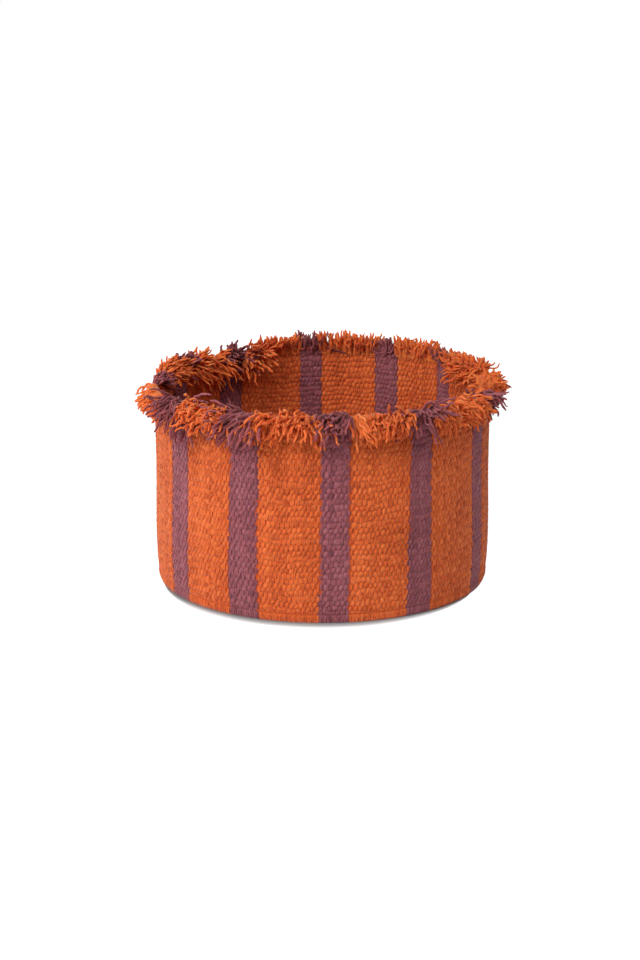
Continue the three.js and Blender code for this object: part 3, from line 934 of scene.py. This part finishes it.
def fringe_of_yarn_ends(add, given):
    """The yarn ends of one stripe. Neighbours cling together in locks, and each end bends over by
    its droop from upright: outwards if that is above nought, and else into the basket."""
    line, along = stepped_line(add, FRINGE_STEPS)
    lines, end = copies(add, line, given["Ends"])

    def chance(whose, least, most, extra):
        """A random number of its own for each yarn end, or for each lock."""
        seed = add("+", [given["Seed"], float(extra)])
        return add("random", {"Min": least, "Max": most, "ID": whose, "Seed": seed})

    # Its place across the stripe from -1 to 1, and the lock it is in
    own = add("+", [end, 0.5])
    share = add("/", [own, given["Ends"]])
    across = add("*+", [share, 2.0, -1.0])
    angle = add("*+", [share, given["Sweep"], given["First Angle"]])
    in_locks = add("/", [own, given["Lock"]])
    lock = add("FLOOR", [add("+", [in_locks, chance(end, -0.3, 0.3, 8)])])
    lock_share = add("*", [add("+", [lock, 0.5]), given["Lock"]])
    lock_share = add("/", [lock_share, given["Ends"]])
    sine = add("SINE", [angle])
    cosine = add("COSINE", [angle])
    out = add("combine", [sine, add("*", [cosine, -1.0]), 0.0])
    beside = add("combine", [cosine, sine, 0.0])

    # How far the end bends over, and to which side
    together = add("*", [chance(lock, -1.0, 1.0, 1), LOCK_DROOP_WHIM])
    lone = add("*+", [chance(end, -1.0, 1.0, 2), END_DROOP_WHIM, together])
    droop = add("*+", [across, given["Droop Change"], given["Droop"]])
    droop = add("*+", [lone, given["Spread"], droop])
    wild = add("POWER", [chance(end, -1.0, 1.0, 9), FEW])
    droop = add("*+", [wild, WILD_DROOP, droop])
    droop = add("clamp", [droop, -MOST_DROOP, MOST_DROOP])
    side = add("*+", [across, given["Fan"], given["Lean"]])
    side = add("+", [chance(lock, -SIDE_WHIM, SIDE_WHIM, 3), side])
    side = add("+", [chance(end, -SIDE_WHIM, SIDE_WHIM, 4), side])
    straying = add("POWER", [chance(end, -1.0, 1.0, 10), FEW])
    side = add("*+", [straying, WILD_SIDE, side])

    # Each lock and each end has its own length, and an end that stands up is shorter
    length = add("*", [given["Length"], chance(lock, 0.88, 1.1, 5)])
    length = add("*", [length, chance(end, 0.7, 1.1, 6)])
    lying = [add("ABSOLUTE", [droop]), 0.0, FULL_LENGTH_DROOP, UPRIGHT_SHARE, 1.0]
    length = add("*", [length, add("range", lying)])

    # It leaves the rim upright and bends over less and less, with a wave of its own
    path = add("*", [along, length])
    rate = chance(lock, -1.5 / BEND_LENGTH, -0.55 / BEND_LENGTH, 7)
    left = add("EXPONENT", [add("*", [path, rate])])
    bent = add("*", [droop, add("-", [1.0, left])])
    wave_own = add("*+", [end, END_SPREAD, add("*", [lock, LOCK_SPREAD])])
    wave_place = add("combine", [wave_own, add("/", [path, WAVE_LENGTH]), given["Seed"]])
    wave = add("noise", [wave_place, 1.0, 1.0])
    waves = add("VECTOR_SUBTRACT", [wave.outputs["Color"], (0.5, 0.5, 0.5)])
    waves = add("separate", [waves]).outputs
    tilt = add("*+", [waves["X"], given["Curl"], bent])
    swerve = add("*+", [waves["Y"], given["Curl"], side])

    level = add("SINE", [tilt])
    level_out = add("*", [level, add("COSINE", [swerve])])
    reach = add("MAXIMUM", [add("ABSOLUTE", [level]), LEAST_SIDE_REACH])
    level_side = add("*", [reach, add("SINE", [swerve])])
    heading = add("VECTOR_SCALE", [out, level_out])
    sidestep = add("VECTOR_SCALE", [beside, level_side])
    rise = add("combine", [0.0, 0.0, add("COSINE", [tilt])])
    way = add("VECTOR_ADD", [add("VECTOR_ADD", [heading, sidestep]), rise])
    step = add("/", [length, FRINGE_STEPS - 1.0])
    stride = add("VECTOR_SCALE", [add("VECTOR_NORMALIZE", [way]), step])
    curve = add("GeometryNodeCurveOfPoint").outputs["Curve Index"]
    walked = add(
        "GeometryNodeAccumulateField",
        {"Value": stride, "Group ID": curve},
        data_type="FLOAT_VECTOR",
        domain="POINT",
    ).outputs["Trailing"]
    depth = add("*", [chance(end, -0.4, 0.4, 11), given["Wall Thickness"]])
    depth = add("+", [depth, given["Rim Radius"]])
    root = add("VECTOR_SCALE", [out, depth])
    root = add("VECTOR_ADD", [root, add("combine", [0.0, 0.0, given["Rim Height"]])])
    spot = add("VECTOR_ADD", [root, walked])

    # The ends of a lock draw together towards their tips, and keep the crimp of the weave
    apart = add("*", [add("-", [lock_share, share]), given["Sweep"]])
    apart = add("*", [apart, given["Rim Radius"]])
    closer = add("*", [apart, add("*", [along, LOCK_GRIP])])
    crimp = add("*", [path, 2 * math.pi / (2 * row_pitch)])
    crimp = add("SINE", [add("+", [crimp, chance(end, 0.0, 6.3, 14)])])
    closer = add("*+", [crimp, CRIMP, closer])
    gathered = add("VECTOR_SCALE", [beside, closer])
    spot = add("VECTOR_ADD", [spot, gathered])

    # An end that hangs down lies against the wall and not in it
    parts = add("separate", [spot]).outputs
    flat = add("combine", [parts["X"], parts["Y"], 0.0])
    radius = add("VECTOR_LENGTH", [flat]).outputs["Value"]
    half_wall = add("*", [given["Wall Thickness"], 0.5])
    layer = add("*", [given["Yarn Thickness"], chance(lock, 0.3, 2.4, 12)])
    away = add("+", [half_wall, layer])
    from_middle = add("-", [radius, given["Rim Radius"]])
    out_or_in = add("SIGN", [droop])
    outside = add("*", [from_middle, out_or_in])
    pushed = add("*", [add("MAXIMUM", [outside, away]), out_or_in])
    clear_of_rim = add("+", [given["Rim Height"], CLEAR_OF_RIM])
    low = add("smooth range", [parts["Z"], given["Rim Height"], clear_of_rim, 1.0, 0.0])
    late = add("range", [path, 1 * MM, 6 * MM])
    new_offset = add("mix", [add("*", [low, late]), from_middle, pushed])
    new_radius = add("+", [new_offset, given["Rim Radius"]])
    moved = add("VECTOR_SCALE", [flat, add("/", [new_radius, radius])])
    spot = add("VECTOR_ADD", [moved, add("combine", [0.0, 0.0, parts["Z"]])])

    lines = add("store", {"Geometry": lines, "Name": "long", "Value": path})
    laid = add("set position", {"Geometry": lines, "Position": spot})
    tip = add("POWER", [along, TIP_POWER])
    tip = add("*+", [tip, -TIP_NARROWING, chance(end, 0.72, 1.12, 13)])
    return tubes_along(add, laid, given["Yarn Thickness"], FRINGE_SIDES, tip)


# How the ends of each stripe lie, round from the front: their droop in degrees, how much more it
# is at the stripe's far edge than in its middle, how widely it varies, their length in millimetres,
# the degrees by which they lean and fan out sideways, and how curly they are
FRINGE_LIES = {
    "plum": (
        (122, 0, 45, 28, -22, -10, 3), (108, 0, 55, 34, -30, 62, 3), (115, 0, 50, 32, -48, 40, 3.5),
        (138, 0, 35, 25, -12, 25, 3), (0, 0, 42, 31, 0, 25, 4), (-8, 0, 38, 36, 0, 25, 4),
        (0, 0, 38, 43, 0, 28, 4), (-55, 0, 75, 33, 0, 25, 2.5), (-40, 0, 60, 31, 0, 25, 2),
        (-70, 20, 45, 24, 0, 30, 3), (112, 0, 46, 37, 48, 42, 3), (118, 0, 52, 38, -45, 38, 3),
    ),
    "orange": (
        (122, 0, 48, 28, -15, -30, 3.5), (122, 0, 52, 30, 0, 5, 5), (0, 70, 85, 25, 0, 15, 5.5),
        (-35, -10, 80, 33, 0, 15, 5), (0, 0, 34, 39, 0, 18, 4), (3, 0, 32, 45, 0, 18, 4),
        (-45, -75, 60, 38, 0, 10, 2), (-85, 30, 75, 35, 5, 15, 2), (-45, 0, 70, 34, 0, 25, 3),
        (150, -10, 34, 25, 0, 5, 3), (118, 0, 55, 31, 5, -12, 4.5), (120, 0, 50, 31, -5, 10, 4),
    ),
}

for number in range(1, STRIPES + 1):
    for colour, material in (("plum", plum_ends_lit), ("orange", orange_ends_lit)):
        start, end, _, _ = span(f"wall_{colour}_{number:02d}")
        _, _, start_high, end_high = border_shifts(colour, number)
        start, end = start + start_high / middle_radius, end + end_high / middle_radius
        droop, change, spread, length, lean, fan, curl = FRINGE_LIES[colour][number - 1]
        sizes = {
            "Rim Radius": middle_radius + FLARE, "Rim Height": wall_height - 1 * MM,
            "Wall Thickness": outer_radius - inner_radius,
            "First Angle": start, "Sweep": end - start,
            "Ends": round((end - start) * middle_radius / YARN_PITCH) * ENDS_PER_YARN,
            "Lock": 10.0, "Yarn Thickness": 2.2 * MM, "Length": length * MM,
            "Droop": math.radians(droop), "Droop Change": math.radians(change),
            "Spread": math.radians(spread), "Lean": math.radians(lean),
            "Fan": math.radians(fan), "Curl": float(curl),
            "Seed": 2 * number + (colour == "plum"), "Material": material,
        }
        piece = grow(f"fringe_{colour}_{number:02d}_ends", fringe_of_yarn_ends, sizes)
        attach(piece, "root")
        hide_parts("fringe_" + colour)


# Yarns that have come loose from the top of the cloth, and lie along the rim inside

LOOSE_STEPS = 14
LOOSE_WAVES = 22.0
LOOSE_WAVE_HEIGHT = 3 * MM


def loose_yarn_along_the_rim(add, given):
    """One yarn between two places on the wall, with a sag and waves, and thinner at its ends."""
    line, along = stepped_line(add, LOOSE_STEPS)
    sweep = add("-", [given["End Angle"], given["Start Angle"]])
    angle = add("*+", [along, sweep, given["Start Angle"]])
    climb = add("-", [given["End Height"], given["Start Height"]])
    height = add("*+", [along, climb, given["Start Height"]])
    bow = add("SINE", [add("*", [along, math.pi])])
    height = add("-", [height, add("*", [bow, given["Sag"]])])
    wave_place = add("combine", [add("*", [angle, LOOSE_WAVES]), 0.0, 0.0])
    wave = add("noise", [wave_place, 1.0, 2.0])
    height = add("*+", [add("-", [wave, 0.5]), LOOSE_WAVE_HEIGHT, height])
    place = round_place(add, given["Radius"], angle, height)
    long = add("*", [add("ABSOLUTE", [angle]), given["Radius"]])
    line = add("store", {"Geometry": line, "Name": "long", "Value": long})
    line = add("store", {"Geometry": line, "Name": "yarn", "Value": given["Start Angle"]})
    laid = add("set position", {"Geometry": line, "Position": place})
    from_middle = add("*+", [along, 2.0, -1.0])
    taper = add("POWER", [add("ABSOLUTE", [from_middle]), 6.0])
    taper = add("*+", [taper, -0.7, 1.0])
    return tubes_along(add, laid, given["Yarn Thickness"], 6, taper)


LOOSE_YARNS = (
    ("orange", 183.5, 190.5, 180, 179, 0.5),
    ("plum", 170.5, 181.0, 175, 182, 0.8),
    ("plum", 151.0, 159.0, 179, 176, 0.4),
    ("plum", 124.5, 131.5, 176, 174, 0.6),
)
for number, (colour, start, end, start_height, end_height, sag) in enumerate(LOOSE_YARNS, 1):
    sizes = {
        "Start Angle": math.radians(start), "End Angle": math.radians(end),
        "Start Height": start_height * MM, "End Height": end_height * MM,
        "Radius": inner_radius + FLARE - 0.4 * MM, "Sag": sag * MM, "Yarn Thickness": 1.5 * MM,
        "Material": plum_cotton if colour == "plum" else orange_cotton,
    }
    piece = grow(f"loose_rim_yarn_{number}", loose_yarn_along_the_rim, sizes)
    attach(piece, "root")
